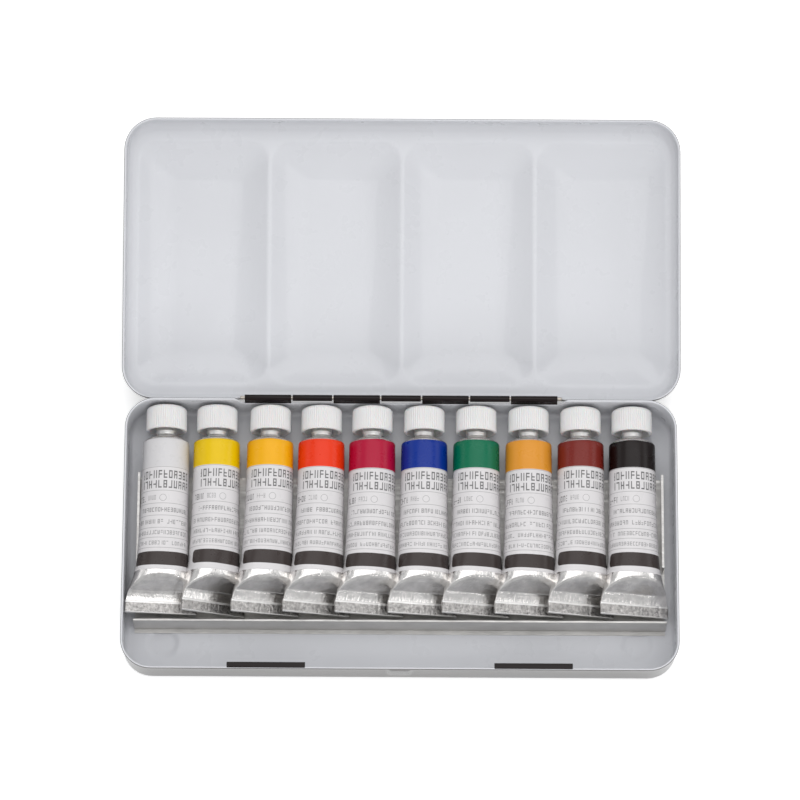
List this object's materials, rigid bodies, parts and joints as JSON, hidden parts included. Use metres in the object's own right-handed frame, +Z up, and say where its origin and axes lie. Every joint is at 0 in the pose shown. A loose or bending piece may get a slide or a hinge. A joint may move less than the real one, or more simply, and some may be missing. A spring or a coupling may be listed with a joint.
{
  "type": "gouache paint set box",
  "caption": "Flat tin box, shown open: hinged lid pressed with mixing wells, shallow tray, loose sheet rack and a row of crimped paint tubes with ribbed screw caps.",
  "frame": {"origin": "on the ground below the middle of the open box's plan", "axes": "+X along the hinge, to the right as seen by someone facing the tray; +Y from the tray to the open lid; +Z up"},
  "size_m": [0.2408, 0.2408, 0.0401],
  "materials": {
    "tray_enamel": "gloss",
    "lid_enamel": "gloss",
    "hinge_wire": "satin",
    "rack_metal": "satin",
    "tube_metal": "gloss",
    "cap_plastic": "matte",
    "tube_label": "gloss"
  },
  "bodies": {
    "tray": {"tray": "tray_enamel", "hinge_pin": "hinge_wire"},
    "lid": {"lid": "lid_enamel"},
    "rack": {"tube_rack": "rack_metal"},
    "tube_1": {"tube_1": "tube_metal"},
    "cap_1": {"cap_1": "cap_plastic"},
    "tube_2": {"tube_2": "tube_metal"},
    "cap_2": {"cap_2": "cap_plastic"},
    "tube_3": {"tube_3": "tube_metal"},
    "cap_3": {"cap_3": "cap_plastic"},
    "tube_4": {"tube_4": "tube_metal"},
    "cap_4": {"cap_4": "cap_plastic"},
    "tube_5": {"tube_5": "tube_metal"},
    "cap_5": {"cap_5": "cap_plastic"},
    "tube_6": {"tube_6": "tube_metal"},
    "cap_6": {"cap_6": "cap_plastic"},
    "tube_7": {"tube_7": "tube_metal"},
    "cap_7": {"cap_7": "cap_plastic"},
    "tube_8": {"tube_8": "tube_metal"},
    "cap_8": {"cap_8": "cap_plastic"},
    "tube_9": {"tube_9": "tube_metal"},
    "cap_9": {"cap_9": "cap_plastic"},
    "tube_10": {"tube_10": "tube_metal"},
    "cap_10": {"cap_10": "cap_plastic"}
  },
  "joints": [
    {"name": "lid_hinge", "type": "hinge", "parent": "tray", "child": "lid", "pos_m": [0, -0.00021, 0.018], "axis": [-1, 0, 0], "range_deg": [-169.5, 0]},
    {"name": "rack_lift", "type": "slide", "parent": "tray", "child": "rack", "axis": [0, 0, 1], "range_m": [0, 0.025]},
    {"name": "tube_1_lift", "type": "slide", "parent": "rack", "child": "tube_1", "axis": [0, 0, 1], "range_m": [0, 0.022]},
    {"name": "cap_1_turn", "type": "hinge", "parent": "tube_1", "child": "cap_1", "pos_m": [-0.101, -0.01396, 0.0118], "axis": [0, 1, 0], "continuous": true},
    {"name": "tube_2_lift", "type": "slide", "parent": "tube_1", "child": "tube_2", "axis": [0, 0, 1], "range_m": [0, 0.022]},
    {"name": "cap_2_turn", "type": "hinge", "parent": "tube_2", "child": "cap_2", "pos_m": [-0.0792, -0.01396, 0.0118], "axis": [0, 1, 0], "continuous": true},
    {"name": "tube_3_lift", "type": "slide", "parent": "tube_2", "child": "tube_3", "axis": [0, 0, 1], "range_m": [0, 0.022]},
    {"name": "cap_3_turn", "type": "hinge", "parent": "tube_3", "child": "cap_3", "pos_m": [-0.0562, -0.01396, 0.0118], "axis": [0, 1, 0], "continuous": true},
    {"name": "tube_4_lift", "type": "slide", "parent": "tube_3", "child": "tube_4", "axis": [0, 0, 1], "range_m": [0, 0.022]},
    {"name": "cap_4_turn", "type": "hinge", "parent": "tube_4", "child": "cap_4", "pos_m": [-0.0342, -0.01396, 0.0118], "axis": [0, 1, 0], "continuous": true},
    {"name": "tube_5_lift", "type": "slide", "parent": "tube_4", "child": "tube_5", "axis": [0, 0, 1], "range_m": [0, 0.022]},
    {"name": "cap_5_turn", "type": "hinge", "parent": "tube_5", "child": "cap_5", "pos_m": [-0.0123, -0.01396, 0.0118], "axis": [0, 1, 0], "continuous": true},
    {"name": "tube_6_lift", "type": "slide", "parent": "tube_5", "child": "tube_6", "axis": [0, 0, 1], "range_m": [0, 0.022]},
    {"name": "cap_6_turn", "type": "hinge", "parent": "tube_6", "child": "cap_6", "pos_m": [0.0101, -0.01396, 0.0118], "axis": [0, 1, 0], "continuous": true},
    {"name": "tube_7_lift", "type": "slide", "parent": "tube_6", "child": "tube_7", "axis": [0, 0, 1], "range_m": [0, 0.022]},
    {"name": "cap_7_turn", "type": "hinge", "parent": "tube_7", "child": "cap_7", "pos_m": [0.0325, -0.01396, 0.0118], "axis": [0, 1, 0], "continuous": true},
    {"name": "tube_8_lift", "type": "slide", "parent": "tube_7", "child": "tube_8", "axis": [0, 0, 1], "range_m": [0, 0.022]},
    {"name": "cap_8_turn", "type": "hinge", "parent": "tube_8", "child": "cap_8", "pos_m": [0.055, -0.01396, 0.0118], "axis": [0, 1, 0], "continuous": true},
    {"name": "tube_9_lift", "type": "slide", "parent": "tube_8", "child": "tube_9", "axis": [0, 0, 1], "range_m": [0, 0.022]},
    {"name": "cap_9_turn", "type": "hinge", "parent": "tube_9", "child": "cap_9", "pos_m": [0.0774, -0.01396, 0.0118], "axis": [0, 1, 0], "continuous": true},
    {"name": "tube_10_lift", "type": "slide", "parent": "tube_9", "child": "tube_10", "axis": [0, 0, 1], "range_m": [0, 0.022]},
    {"name": "cap_10_turn", "type": "hinge", "parent": "tube_10", "child": "cap_10", "pos_m": [0.0995, -0.01396, 0.0118], "axis": [0, 1, 0], "continuous": true}
  ]
}
